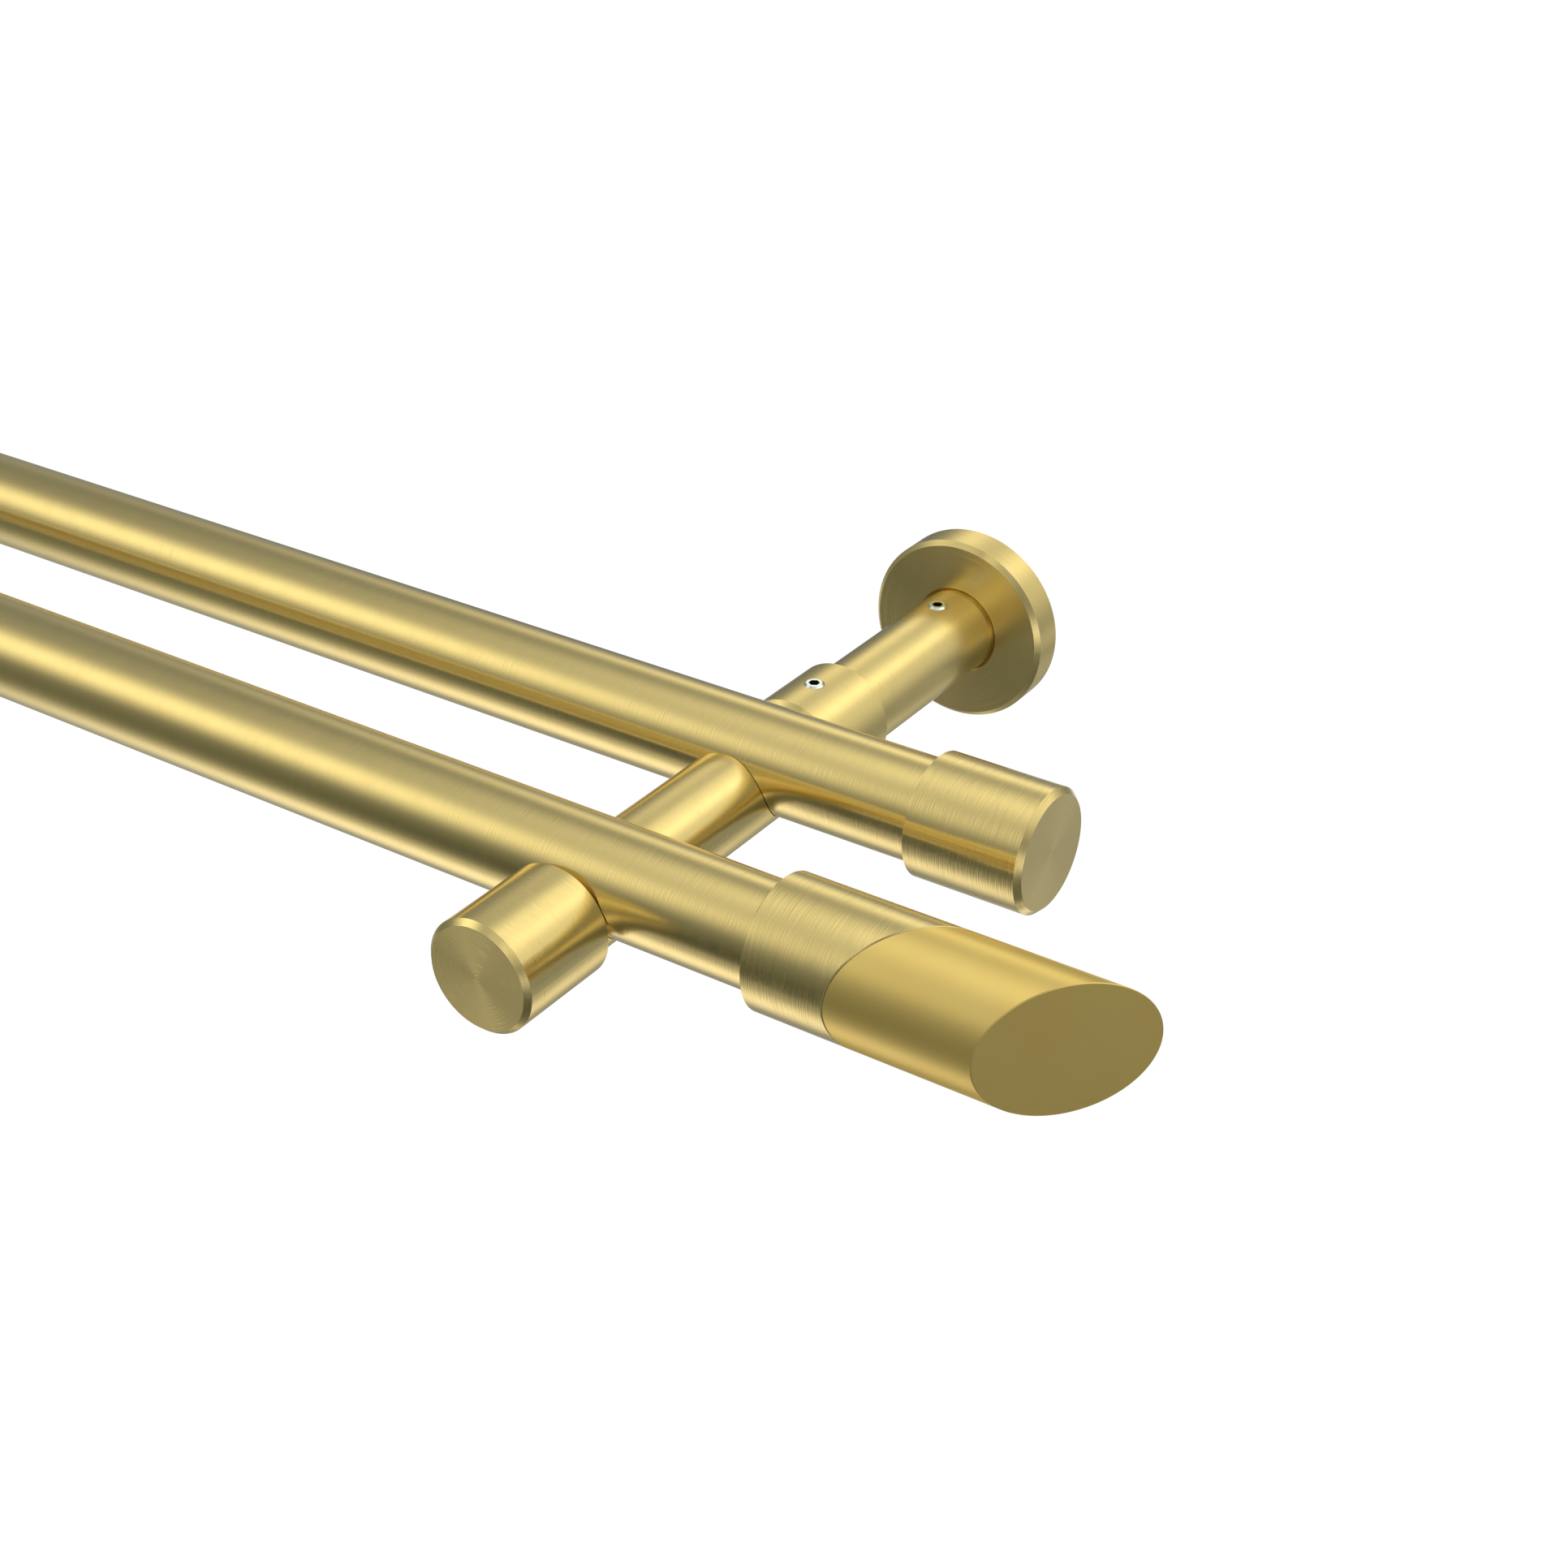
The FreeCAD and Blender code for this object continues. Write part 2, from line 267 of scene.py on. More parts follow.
def patch(lamp, ray):
    """How much of a lamp's patch a ray meets: 1 in the middle, fading like a bell curve."""
    azimuth, elevation, across, up = [math.radians(a) for a in lamp]
    facing = direction(azimuth, elevation)
    side = Vector((math.cos(azimuth), math.sin(azimuth), 0.0))
    depth = ray.dot(facing)
    if depth < GRAZING:
        return 0.0
    x = ray.dot(side) / depth / math.tan(across)
    y = ray.dot(facing.cross(side)) / depth / math.tan(up)
    return math.exp(-x * x - y * y)


def tent_light(ray):
    """Linear RGBA of the tent in one direction."""
    plain = cloth_brightness(math.degrees(math.asin(max(-1.0, min(1.0, ray.z)))))
    light = [plain * tint for tint in CLOTH_TINT]
    for *card, held_back in DARK_CARDS.values():
        shade = patch(card, ray)
        light = [part * (1 - share * shade) for part, share in zip(light, held_back)]
    for *lamp, power in LAMPS.values():
        glow = power * patch(lamp, ray)
        tints = LOW_LAMP_TINT if lamp[1] < 0 else LAMP_TINT
        light = [part + glow * tint for part, tint in zip(light, tints)]
    return light + [1.0]


print("overhead", [round(part, 2) for part in tent_light(Vector((0.0, 0.0, 1.0)))[:3]])

# %% [markdown]
# ## The tent itself
#
# The tent is a sphere round the right-hand bracket, woven fine enough for the smallest patch,
# with its glow kept at its points. An icosphere would do as well, but rows and columns make the
# direction of each point easy to name. Only mirrors see the tent: it is hidden from the camera
# and from matt surfaces, and it throws no shadow, so the white backdrop stays white.

# %% Tent
TENT_CENTRE = Vector((0.30, -0.10, 0.0))
TENT_RADIUS = 2.2                               # m
TENT_STEP = 2.5                                 # degrees between the tent's threads

columns = int(360 / TENT_STEP)
rows = int(180 / TENT_STEP)
rays = [
    direction(math.radians(c * TENT_STEP - 180), math.radians(r * TENT_STEP - 90))
    for r in range(rows + 1) for c in range(columns)
]
quads = []
for start in range(0, rows * columns, columns):
    for here in range(columns):
        following = (here + 1) % columns
        above = start + columns
        quads.append((start + here, start + following, above + following, above + here))
tent_mesh = bpy.data.meshes.new("light_tent")
tent_mesh.from_pydata([TENT_CENTRE + ray * TENT_RADIUS for ray in rays], [], quads)
colour = tent_mesh.attributes.new("glow", "FLOAT_COLOR", "POINT")
colour.data.foreach_set("color", [value for ray in rays for value in tent_light(ray)])
tent = bpy.data.objects.new("light_tent", tent_mesh)
bpy.context.scene.collection.objects.link(tent)
tent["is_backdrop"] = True
tent.visible_camera = False
tent.visible_diffuse = False
tent.visible_transmission = False
tent.visible_volume_scatter = False
tent.visible_shadow = False

cloth, cloth_out = new_material("lit_tent_cloth")
tree = cloth.node_tree
lit = add(tree, "ShaderNodeAttribute", attribute_name="glow")
shine = add(tree, "ShaderNodeEmission", {"Color": lit.outputs["Color"], "Strength": 1.0})
tree.links.new(shine.outputs[0], cloth_out.inputs["Surface"])
cloth.cycles.emission_sampling = "NONE"
tent_mesh.materials.append(cloth)
print("tent of", len(rays), "points and", len(quads), "faces")

# %% [markdown]
# ## Coordinates of a turned part
#
# A lathe leaves its marks round the axis: rings along the side of a bar, circles on its end.
# To draw such marks we need to know, at each point of the surface, how far along the axis it
# is, how far from it, and which way round. UV maps could hold that, but the parts would need
# unwrapping. Working it out from the object's own coordinates is exact and never stretches.

# %% Coordinates of a turned part
AXES = {"x": (1.0, 0.0, 0.0), "y": (0.0, 1.0, 0.0)}
TO_MM = 1000.0
END_STARTS, END_FULL = 0.85, 0.95               # how squarely a face has to look along the axis


def turned_coordinates(tree, axis, centre):
    """Sockets of along and out (mm), outward and across (vectors), and end (1 on an end face)."""
    unit = AXES[axis]
    place = add(tree, "ShaderNodeTexCoord")
    point, normal = place.outputs["Object"], place.outputs["Normal"]
    offset = add(tree, "ShaderNodeVectorMath", {0: point, 1: centre}, operation="SUBTRACT")
    spot = add(
        tree, "ShaderNodeVectorMath", {0: offset.outputs[0], "Scale": TO_MM}, operation="SCALE"
    )
    along = add(
        tree, "ShaderNodeVectorMath", {0: spot.outputs[0], 1: unit}, operation="DOT_PRODUCT"
    )
    lengthwise = add(
        tree, "ShaderNodeVectorMath", {0: unit, "Scale": along.outputs["Value"]}, operation="SCALE"
    )
    spoke = add(
        tree, "ShaderNodeVectorMath", {0: spot.outputs[0], 1: lengthwise.outputs[0]},
        operation="SUBTRACT",
    )
    out = add(tree, "ShaderNodeVectorMath", {0: spoke.outputs[0]}, operation="LENGTH")
    outward = add(tree, "ShaderNodeVectorMath", {0: spoke.outputs[0]}, operation="NORMALIZE")
    around = add(
        tree, "ShaderNodeVectorMath", {0: unit, 1: outward.outputs[0]}, operation="CROSS_PRODUCT"
    )
    across = add(
        tree, "ShaderNodeVectorMath", {0: around.outputs[0], 1: normal}, operation="CROSS_PRODUCT"
    )
    facing = add(tree, "ShaderNodeVectorMath", {0: normal, 1: unit}, operation="DOT_PRODUCT")
    square_on = add(tree, "ShaderNodeMath", {0: facing.outputs["Value"]}, operation="ABSOLUTE")
    end = add(
        tree, "ShaderNodeMapRange",
        {"Value": square_on.outputs[0], "From Min": END_STARTS, "From Max": END_FULL},
    )
    return (
        along.outputs["Value"], out.outputs["Value"], outward.outputs[0], across.outputs[0],
        end.outputs["Result"],
    )


print("parts are turned round", " or ".join(AXES))

# %% [markdown]
# ## Brushed sides
#
# Rods, caps and the finial's sleeve are brass-plated tube and bar, brushed while they turn and
# then lacquered. The real scratches are a few hundredths of a millimetre wide. Such lines
# vanish in a picture of this size, so they are drawn about a seventh of a millimetre wide,
# which keeps their fine, silky look. Each is a few millimetres long, so the noise that draws
# them is squeezed along the axis and left long round it. A picture of brushed metal could be
# wrapped round the bar instead, but its seam would show.
#
# The scratches tilt the surface a little, which the bump does. Their colour holds painted light
# as well: painted shade makes the deep ones a trace darker, and a painted highlight makes the
# ridges between them a trace brighter. They also smear reflections across themselves, which is
# what a brushed metal's anisotropy means. A brush never presses evenly, so a second, slow noise
# makes patches where the scratches are deeper and the metal a trace rougher.

# %% Brushed sides
SCRATCH = 0.15                                  # mm, width of a scratch as it is drawn
TURN_RADIUS = 10.0                              # mm, a scratch has its full length this far out
PATCH_SIZE = 5.0                                # mm, between places where the brush pressed harder
LIGHT_PRESS = 0.7                               # share of the depth where it pressed lightly
ROUGHER = 0.01                                  # how far the roughness swings to either side
NOISE_LOW, NOISE_HIGH = 0.35, 0.65              # most of a noise lies between these
PLAIN_FROM, PLAIN_TO = 0.46, 0.54               # tones that are neither scratch nor ridge
# painted shade in a scratch, the plain brass, and a painted highlight on the ridge between
# scratches
PAINTED_SCRATCH_SHADE, PLAIN_BRASS, PAINTED_RIDGE_HIGHLIGHT = "C8B67E", "E7D497", "FBE8A6"


def brushed_side(tree, axis, turned, skin, roughness, depth, contrast, scratch, length):
    """Shader of brass brushed round the axis; depth, scratch and length are in mm."""
    along, _, outward, _, _ = turned
    run = add(tree, "ShaderNodeMath", {0: along, 1: 1.0 / scratch}, operation="MULTIPLY")
    lift = add(
        tree, "ShaderNodeVectorMath", {0: AXES[axis], "Scale": run.outputs[0]}, operation="SCALE"
    )
    turn = add(
        tree, "ShaderNodeVectorMath", {0: outward, "Scale": TURN_RADIUS / length}, operation="SCALE"
    )
    spot = add(
        tree, "ShaderNodeVectorMath", {0: turn.outputs[0], 1: lift.outputs[0]}, operation="ADD"
    )
    scratches = add(
        tree, "ShaderNodeTexNoise", {"Vector": spot.outputs[0], "Scale": 1.0, "Detail": 0.0}
    )
    place = add(tree, "ShaderNodeTexCoord")
    patches = add(
        tree, "ShaderNodeTexNoise",
        {"Vector": place.outputs["Object"], "Scale": TO_MM / PATCH_SIZE, "Detail": 1.0},
    )
    spread = {"Value": patches.outputs["Fac"], "From Min": NOISE_LOW, "From Max": NOISE_HIGH}
    press = add(tree, "ShaderNodeMapRange", {**spread, "To Min": LIGHT_PRESS, "To Max": 1.0})
    rough = add(
        tree, "ShaderNodeMapRange",
        {**spread, "To Min": roughness - ROUGHER, "To Max": roughness + ROUGHER},
    )
    line = add(tree, "ShaderNodeMath", {0: scratches.outputs["Fac"], 1: 0.5}, operation="SUBTRACT")
    cut = add(
        tree, "ShaderNodeMath", {0: line.outputs[0], 1: press.outputs["Result"]},
        operation="MULTIPLY",
    )
    height = add(
        tree, "ShaderNodeMath", {0: cut.outputs[0], 1: depth / TO_MM}, operation="MULTIPLY"
    )
    bump = add(
        tree, "ShaderNodeBump", {"Strength": 1.0, "Distance": 1.0, "Height": height.outputs[0]}
    )
    tone = add(
        tree, "ShaderNodeMath", {0: cut.outputs[0], 1: contrast, 2: 0.5}, operation="MULTIPLY_ADD"
    )
    # the colour ramp paints shade into the scratches and a highlight onto the ridges
    tint = add(tree, "ShaderNodeValToRGB", {"Fac": tone.outputs[0]})
    dark, bright = tint.color_ramp.elements
    dark.position, dark.color = NOISE_LOW, linear(PAINTED_SCRATCH_SHADE)
    bright.position, bright.color = NOISE_HIGH, linear(PAINTED_RIDGE_HIGHLIGHT)
    for position in (PLAIN_FROM, PLAIN_TO):
        tint.color_ramp.elements.new(position).color = linear(PLAIN_BRASS)
    return add(
        tree, "ShaderNodeBsdfPrincipled",
        {
            "Base Color": tint.outputs["Color"], "Roughness": rough.outputs["Result"],
            "Normal": bump.outputs["Normal"], **skin,
        },
    )


print("scratches", SCRATCH, "mm wide, patches", PATCH_SIZE, "mm apart")

# %% [markdown]
# ## Turned end faces
#
# The end of a cap and the front of a rosette are cut flat on the lathe, and the tool leaves
# fine circles. Each circle is a tiny groove that reflects light outward from the centre, and
# together they make the pale fans that meet in the middle. The circles could be modelled, but
# they are far too fine for that. Here a one-dimensional noise of the distance from the centre
# makes them, so they are perfectly round. A slow noise round the face lets them fade in and
# out, and they deepen toward the pip that the tool leaves in the middle. Their colour holds
# painted light too: painted shade makes each groove a trace darker, and a painted highlight
# makes the metal between the grooves a trace brighter.

# %% Turned end faces
FACE_ROUGHNESS = 0.28
CIRCLE = 0.22                                   # mm, coarser than the real ones so that they show
ARCS_ROUND = 2.5                                # how often the circles fade in and out
ARC_STARTS = 0.4                                # they are gone where the slow noise is lower
PIP_RADIUS = 1.5                                # mm
PIP_DEPTH = 6.0                                 # times the depth of the other circles
# painted shade in a groove, and a painted highlight on the metal between grooves
PAINTED_GROOVE_SHADE, PAINTED_LAND_HIGHLIGHT = "E1CE92", "EDDA9C"


def turned_face(tree, turned, skin, depth):
    """Shader of a face cut on the lathe; depth is that of its circles in mm."""
    _, out, outward, _, _ = turned
    ring = add(tree, "ShaderNodeMath", {0: out, 1: 1.0 / CIRCLE}, operation="MULTIPLY")
    circles = add(
        tree, "ShaderNodeTexNoise", {"W": ring.outputs[0], "Scale": 1.0, "Detail": 1.0},
        noise_dimensions="1D",
    )
    arcs = add(
        tree, "ShaderNodeTexNoise", {"Vector": outward, "Scale": ARCS_ROUND, "Detail": 0.0}
    )
    strong = add(
        tree, "ShaderNodeMapRange",
        {"Value": arcs.outputs["Fac"], "From Min": ARC_STARTS, "From Max": NOISE_HIGH},
    )
    pip = add(
        tree, "ShaderNodeMapRange",
        {"Value": out, "From Max": PIP_RADIUS, "To Min": PIP_DEPTH, "To Max": 1.0},
    )
    line = add(tree, "ShaderNodeMath", {0: circles.outputs["Fac"], 1: 0.5}, operation="SUBTRACT")
    cut = add(
        tree, "ShaderNodeMath", {0: line.outputs[0], 1: strong.outputs["Result"]},
        operation="MULTIPLY",
    )
    deep = add(
        tree, "ShaderNodeMath", {0: cut.outputs[0], 1: pip.outputs["Result"]}, operation="MULTIPLY"
    )
    height = add(
        tree, "ShaderNodeMath", {0: deep.outputs[0], 1: depth / TO_MM}, operation="MULTIPLY"
    )
    bump = add(
        tree, "ShaderNodeBump", {"Strength": 1.0, "Distance": 1.0, "Height": height.outputs[0]}
    )
    tone = add(tree, "ShaderNodeMath", {0: cut.outputs[0], 1: 0.5}, operation="ADD")
    # the colour ramp paints shade into the grooves and a highlight between them
    tint = add(tree, "ShaderNodeValToRGB", {"Fac": tone.outputs[0]})
    dark, bright = tint.color_ramp.elements
    dark.position, dark.color = NOISE_LOW, linear(PAINTED_GROOVE_SHADE)
    bright.position, bright.color = NOISE_HIGH, linear(PAINTED_LAND_HIGHLIGHT)
    return add(
        tree, "ShaderNodeBsdfPrincipled",
        {
            "Base Color": tint.outputs["Color"], "Roughness": FACE_ROUGHNESS,
            "Normal": bump.outputs["Normal"], **skin,
        },
    )


print("circles", CIRCLE, "mm apart, deepest within", PIP_RADIUS, "mm of the middle")

# %% [markdown]
# ## Brushed brass
#
# Side and end face are one piece of brass under one lacquer, so one material holds both shaders
# and a mask picks the right one: it is 1 where the surface faces along the axis. A second
# material on the end faces would do it too, but the slots of the CAD pieces stay as they are.
# The clear lacquer is a coat that reflects a little white haze, which takes the edge off the
# gold.
#
# The rear caps and the finial's sleeve are brushed harder than the rods, so their scratches are
# deeper and their painted shade and highlight stronger, and the scratches on the sleeve are the
# finest and the longest.

# %% Brushed brass
REAR_AXIS = (0.0, -0.082, 0.005)
FRONT_AXIS = (0.0, -0.132, 0.005)


def brushed_brass(
    name, axis, centre, edge="FFFFFF",
    roughness=0.2, anisotropy=0.5, depth=0.015, contrast=0.23, scratch=SCRATCH, length=4.0,
    face_depth=0.02, face_anisotropy=0.5,
):
    """Brass worked round an axis through centre (metres); edge is its tint at a glancing look."""
    material, out_node = new_material(name)
    tree = material.node_tree
    turned = turned_coordinates(tree, axis, centre)
    _, _, _, across, end = turned
    skin = {
        "Metallic": 1.0, "Tangent": across, "Specular Tint": linear(edge),
        "Coat Weight": 1.0, "Coat Roughness": 1.0, "Coat IOR": 1.5,
    }
    side = brushed_side(
        tree, axis, turned, {**skin, "Anisotropic": anisotropy},
        roughness, depth, contrast, scratch, length,
    )
    face = turned_face(tree, turned, {**skin, "Anisotropic": face_anisotropy}, face_depth)
    both = add(tree, "ShaderNodeMixShader", {0: end, 1: side.outputs[0], 2: face.outputs[0]})
    tree.links.new(both.outputs[0], out_node.inputs["Surface"])
    return material


finishes = {
    "rear_rod": brushed_brass("brushed_brass_rear_rod", "x", REAR_AXIS),
    "front_rod": brushed_brass("brushed_brass_front_rod", "x", FRONT_AXIS),
    "rear_cap": brushed_brass("brushed_brass_rear_cap", "x", REAR_AXIS, depth=0.024, contrast=0.3),
    "finial_sleeve": brushed_brass(
        "brushed_brass_finial_sleeve", "x", FRONT_AXIS,
        depth=0.022, contrast=0.3, scratch=0.13, length=6.0,
    ),
}
print("brushed:", ", ".join(finishes))

# %% [markdown]
# ## Satin brass
#
# Stem, sleeve, arm and rosette are turned from solid bar and then only lightly brushed, so
# their marks are shallower than the rods', and the highlight along them is broad and silky. At
# a glancing look they turn a warm white. Their end faces keep the circles that the lathe's tool
# cut. The cap on the arm's nose is brushed a little harder, so its scratches are deeper and
# their painted shade and highlight stronger. Its face has the deepest circles, and its
# anisotropy is nearly full, so that the fans show.
#
# The rods' finish could serve here as well, but on such short parts its marks look coarse. So
# the same function makes another brass with gentler numbers, round the axis that runs out from
# the wall. Each bracket has its own, because the distance from its axis draws the circles.

# %% Satin brass
BRACKET_X = 0.346                               # m, from the middle of the rods to a bracket
WARM_WHITE = "F7F3E4"

for side, x in (("right", BRACKET_X), ("left", -BRACKET_X)):
    bracket_axis = (x, 0.0, 0.0)
    finishes["bracket_" + side] = brushed_brass(
        "satin_brass_bracket_" + side, "y", bracket_axis, edge=WARM_WHITE,
        depth=0.008, contrast=0.25, length=3.0, face_depth=0.03,
    )
    finishes["cap_" + side] = brushed_brass(
        "satin_brass_arm_cap_" + side, "y", bracket_axis, edge=WARM_WHITE,
        roughness=0.19, anisotropy=0.4, depth=0.013, contrast=0.3, length=2.5,
        face_depth=0.05, face_anisotropy=0.92,
    )
print("satin:", ", ".join(name for name in finishes if name.endswith(("left", "right"))))

# %% [markdown]
# ## Smooth brass
#
# The tips of the finials are blasted with fine glass beads before they are plated. Beads leave
# no direction, only a soft blur, so this finish has no scratches and no anisotropy. The metal
# is rough in the pits that they leave and smoother on the peaks between them. One middling
# roughness would be simpler, but two in equal parts are nearer the truth: one spreads the
# highlight, and the other keeps its core crisp. The pits are drawn as a bump, coarser than
# they are.
#
# The plating is a little warmer than the brushed one, in faint clouds. It stays golden at the
# edges too, where a lacquered metal turns pale.

# %% Smooth brass
PIT_SIZE = 0.25                                 # mm
PIT_DEPTH = 0.001                               # mm
PIT_ROUGHNESS, PEAK_ROUGHNESS = 0.6, 0.25
PLATING_CLOUD = 25 / 3                          # mm
THIN_BELOW, THICK_ABOVE = 0.3, 0.7              # parts of the cloud noise
THIN_PLATING, THICK_PLATING, GOLDEN_EDGE = "F2D88C", "F2DB90", "FFF0C8"


def bead_blasted_brass(name):
    """Brass with a soft sheen that is the same in every direction."""
    material, out_node = new_material(name)
    tree = material.node_tree
    place = add(tree, "ShaderNodeTexCoord")
    point = place.outputs["Object"]
    cloud = add(
        tree, "ShaderNodeTexNoise", {"Vector": point, "Scale": TO_MM / PLATING_CLOUD, "Detail": 2.0}
    )
    tint = add(tree, "ShaderNodeValToRGB", {"Fac": cloud.outputs["Fac"]})
    thin, thick = tint.color_ramp.elements
    thin.position, thin.color = THIN_BELOW, linear(THIN_PLATING)
    thick.position, thick.color = THICK_ABOVE, linear(THICK_PLATING)
    grain = add(
        tree, "ShaderNodeTexNoise", {"Vector": point, "Scale": TO_MM / PIT_SIZE, "Detail": 1.0}
    )
    bump = add(
        tree, "ShaderNodeBump",
        {"Strength": 1.0, "Distance": PIT_DEPTH / TO_MM, "Height": grain.outputs["Fac"]},
    )
    metal = {
        "Base Color": tint.outputs["Color"], "Metallic": 1.0,
        "Specular Tint": linear(GOLDEN_EDGE), "Normal": bump.outputs["Normal"],
    }
    pits = add(tree, "ShaderNodeBsdfPrincipled", {**metal, "Roughness": PIT_ROUGHNESS})
    peaks = add(tree, "ShaderNodeBsdfPrincipled", {**metal, "Roughness": PEAK_ROUGHNESS})
    skin = add(tree, "ShaderNodeMixShader", {0: 0.5, 1: pits.outputs[0], 2: peaks.outputs[0]})
    tree.links.new(skin.outputs[0], out_node.inputs["Surface"])
    return material


finishes["tip"] = bead_blasted_brass("bead_blasted_brass_tip")
print("smooth:", finishes["tip"].name)

# %% [markdown]
# ## Chrome-plated grub screws
#
# The grub screws are small, bright and cold beside the brass. Their hexagon sockets look
# black, because shade fills so narrow a hole, and here that shade is painted as a black colour.
# The socket's faces could be given a black material of their own, but the mesh stays as it is.
# So the material finds the socket by itself: whatever lies nearer the screw's axis than the
# hexagon's corners, and deeper than its head, is socket and gets the painted black shade.

# %% Chrome-plated grub screws
SOCKET_RADIUS = 1.22                            # mm, just outside the hexagon's corners
HEAD_SKIN = 0.05                                # mm below the head where the black begins
SMEAR = 10 / 9                                  # mm, between the marks that fingers leave
CLEAN_CHROME, SMEARED_CHROME = 0.04, 0.12       # roughness
SOCKET_ROUGH_LOW, SOCKET_ROUGH_HIGH = 0.3, 0.5                     # roughness
# the black is painted shade for the inside of the socket
COLD_CHROME, PAINTED_SOCKET_SHADE = "EAF4FF", "121C1B"
SCREWS = {                                      # name: the axis's y and the head's height, in mm
    "stem_screw": (-15.5, 9.3),
    "sleeve_screw": (-61.95, 11.3),
    "rear_rod_screw": (-82.0, -9.0),
    "front_rod_screw": (-132.0, -9.0),
}


def chrome_screw(name, y, head):
    """Chrome with its socket painted black as shade, for this screw of both brackets; y and head
    are in mm.
    """
    material, out_node = new_material(name)
    tree = material.node_tree
    place = add(tree, "ShaderNodeTexCoord")
    fold = add(tree, "ShaderNodeSeparateXYZ", {0: place.outputs["Object"]})
    side = add(tree, "ShaderNodeMath", {0: fold.outputs[0]}, operation="ABSOLUTE")
    side = add(tree, "ShaderNodeMath", {0: side.outputs[0], 1: BRACKET_X}, operation="SUBTRACT")
    away = add(tree, "ShaderNodeMath", {0: fold.outputs[1], 1: y / TO_MM}, operation="SUBTRACT")
    flat = add(tree, "ShaderNodeCombineXYZ", {0: side.outputs[0], 1: away.outputs[0]})
    radius = add(tree, "ShaderNodeVectorMath", {0: flat.outputs[0]}, operation="LENGTH")
    inside = add(
        tree, "ShaderNodeMath", {0: radius.outputs["Value"], 1: SOCKET_RADIUS / TO_MM},
        operation="LESS_THAN",
    )
    height = add(tree, "ShaderNodeMath", {0: fold.outputs[2]}, operation="ABSOLUTE")
    below = add(
        tree, "ShaderNodeMath", {0: height.outputs[0], 1: (abs(head) - HEAD_SKIN) / TO_MM},
        operation="LESS_THAN",
    )
    socket = add(
        tree, "ShaderNodeMath", {0: inside.outputs[0], 1: below.outputs[0]}, operation="MULTIPLY"
    )
    smear = add(
        tree, "ShaderNodeTexNoise",
        {"Vector": place.outputs["Object"], "Scale": TO_MM / SMEAR, "Detail": 2.0},
    )
    smooth = add(
        tree, "ShaderNodeMapRange",
        {"Value": smear.outputs["Fac"], "To Min": CLEAN_CHROME, "To Max": SMEARED_CHROME},
    )
    plating = add(
        tree, "ShaderNodeBsdfPrincipled",
        {
            "Base Color": linear(COLD_CHROME), "Metallic": 1.0,
            "Roughness": smooth.outputs["Result"],
        },
    )
    socket_roughness = add(
        tree, "ShaderNodeMapRange",
        {"Value": smear.outputs["Fac"], "To Min": SOCKET_ROUGH_LOW, "To Max": SOCKET_ROUGH_HIGH},
    )
    # painted black shade inside the socket
    dark = add(
        tree, "ShaderNodeBsdfPrincipled",
        {"Base Color": linear(PAINTED_SOCKET_SHADE), "Metallic": 0.0, "Roughness": socket_roughness.outputs["Result"]},
    )
    both = add(
        tree, "ShaderNodeMixShader",
        {0: socket.outputs[0], 1: plating.outputs[0], 2: dark.outputs[0]},
    )
    tree.links.new(both.outputs[0], out_node.inputs["Surface"])
    return material


for screw, (y, head) in SCREWS.items():
    finishes[screw] = chrome_screw("chrome_plated_" + screw, y, head)
print("chrome:", ", ".join(SCREWS))

# %% [markdown]
# ## Zinc-plated wall plate
#
# The plate and post behind the rosette are plain steel with bright zinc on them. It dulls in
# faint clouds, which are paler and a little rougher than the zinc between them. That gives a
# soft grey shine with no direction. Two noises could make the tone and the roughness. One makes
# both, because on the real thing they change together.

# %% Zinc-plated wall plate
ZINC_CLOUD = 4.0                                # mm
BRIGHT_ROUGHNESS, DULLED_ROUGHNESS = 0.34, 0.46
BRIGHT_ZINC, DULLED_ZINC = "A9ADB0", "C3C6C8"


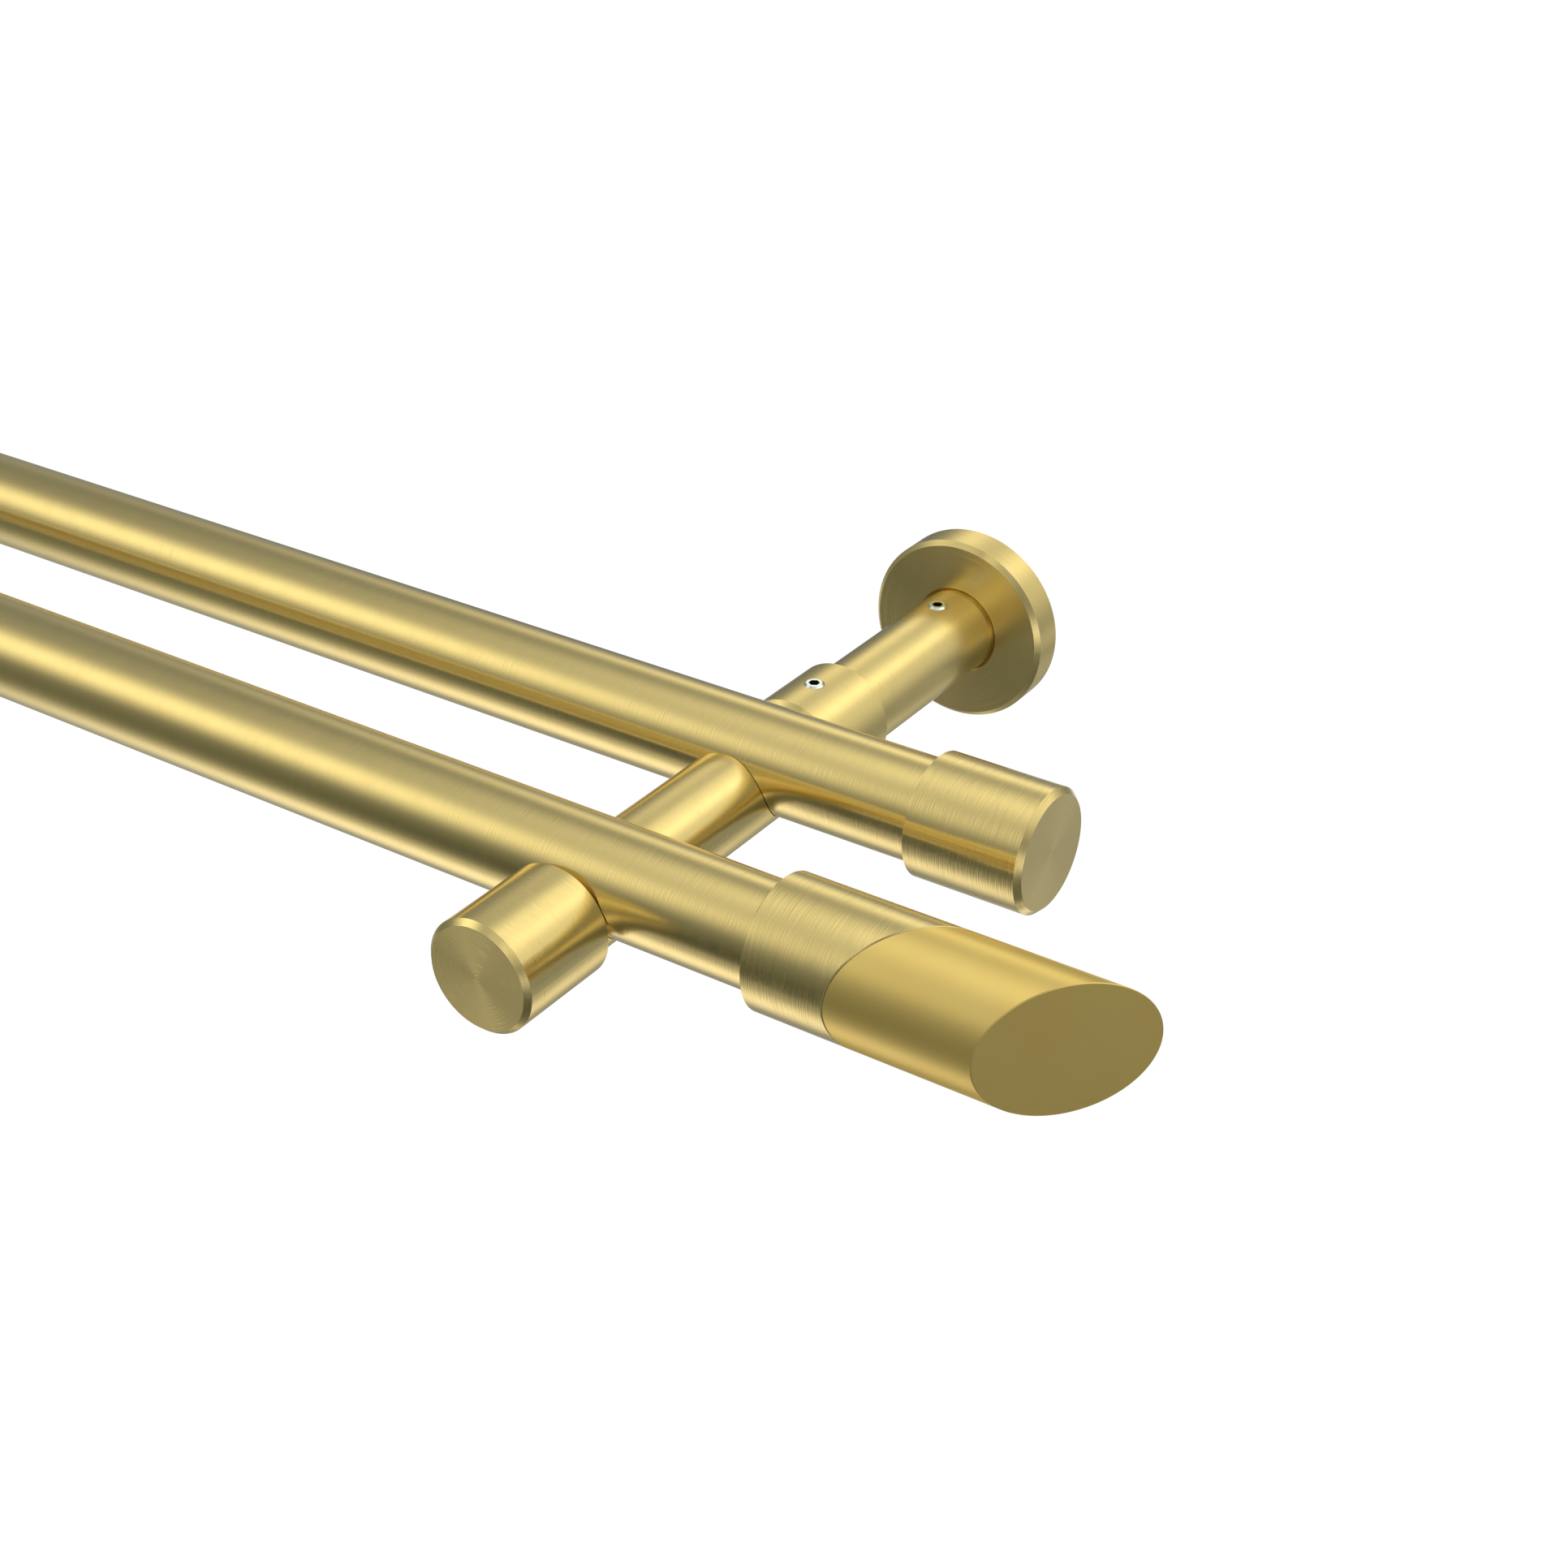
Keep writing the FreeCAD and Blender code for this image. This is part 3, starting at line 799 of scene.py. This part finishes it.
def zinc_plate(name):
    """Steel under bright zinc that has dulled in faint clouds."""
    material, out_node = new_material(name)
    tree = material.node_tree
    place = add(tree, "ShaderNodeTexCoord")
    cloud = add(
        tree, "ShaderNodeTexNoise",
        {"Vector": place.outputs["Object"], "Scale": TO_MM / ZINC_CLOUD, "Detail": 4.0},
    )
    tint = add(tree, "ShaderNodeValToRGB", {"Fac": cloud.outputs["Fac"]})
    bright, dulled = tint.color_ramp.elements
    bright.position, bright.color = NOISE_LOW, linear(BRIGHT_ZINC)
    dulled.position, dulled.color = NOISE_HIGH, linear(DULLED_ZINC)
    rough = add(
        tree, "ShaderNodeMapRange",
        {"Value": cloud.outputs["Fac"], "To Min": BRIGHT_ROUGHNESS, "To Max": DULLED_ROUGHNESS},
    )
    metal = add(
        tree, "ShaderNodeBsdfPrincipled",
        {
            "Base Color": tint.outputs["Color"], "Metallic": 1.0,
            "Roughness": rough.outputs["Result"],
        },
    )
    tree.links.new(metal.outputs[0], out_node.inputs["Surface"])
    return material


finishes["plate"] = zinc_plate("zinc_plated_steel_plate")
print("zinc:", finishes["plate"].name)

# %% [markdown]
# ## Dressing the pieces
#
# Each piece of the CAD model keeps its own mesh and rides where it is. Only the material in
# its slot changes. That could be done by hand, piece by piece, but one table from piece to
# finish is easier to check. The slot is linked to the object and not to the mesh, which leaves
# the CAD data as it came. A star in the table stands for the side that the piece is on, since
# each bracket has its own axis.

# %% Dress the pieces
PIECE_FINISH = {
    "rear_rod": "rear_rod", "front_rod": "front_rod", "rear_rod_cap": "rear_cap",
    "finial_sleeve": "finial_sleeve", "finial_tip": "tip",
    "wall_plate": "plate", "wall_post": "plate",
    "rosette": "bracket_*", "stem": "bracket_*", "connecting_sleeve": "bracket_*",
    "cradle_arm": "bracket_*", "arm_cap": "cap_*",
}
for name, node in sorted(nodes.items()):
    piece, _, side = name.rpartition("_")
    if side not in ("left", "right"):
        piece = name
    finish = PIECE_FINISH.get(piece, piece).replace("*", side)
    for slot in node.material_slots:
        slot.link = "OBJECT"
        slot.material = finishes[finish]
print("dressed", len(nodes), "pieces in", len(finishes), "finishes")

# %% [markdown]
# ## Sizes
#
# The dressed model must be exactly as large as the CAD model, because nothing was added to it.
# Both boxes are written down so that they can be compared.

# %% Sizes
dressed_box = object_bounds()
low, high = [[round(c, 4) for c in corner] for corner in dressed_box]
print("dressed box from", low, "to", high)
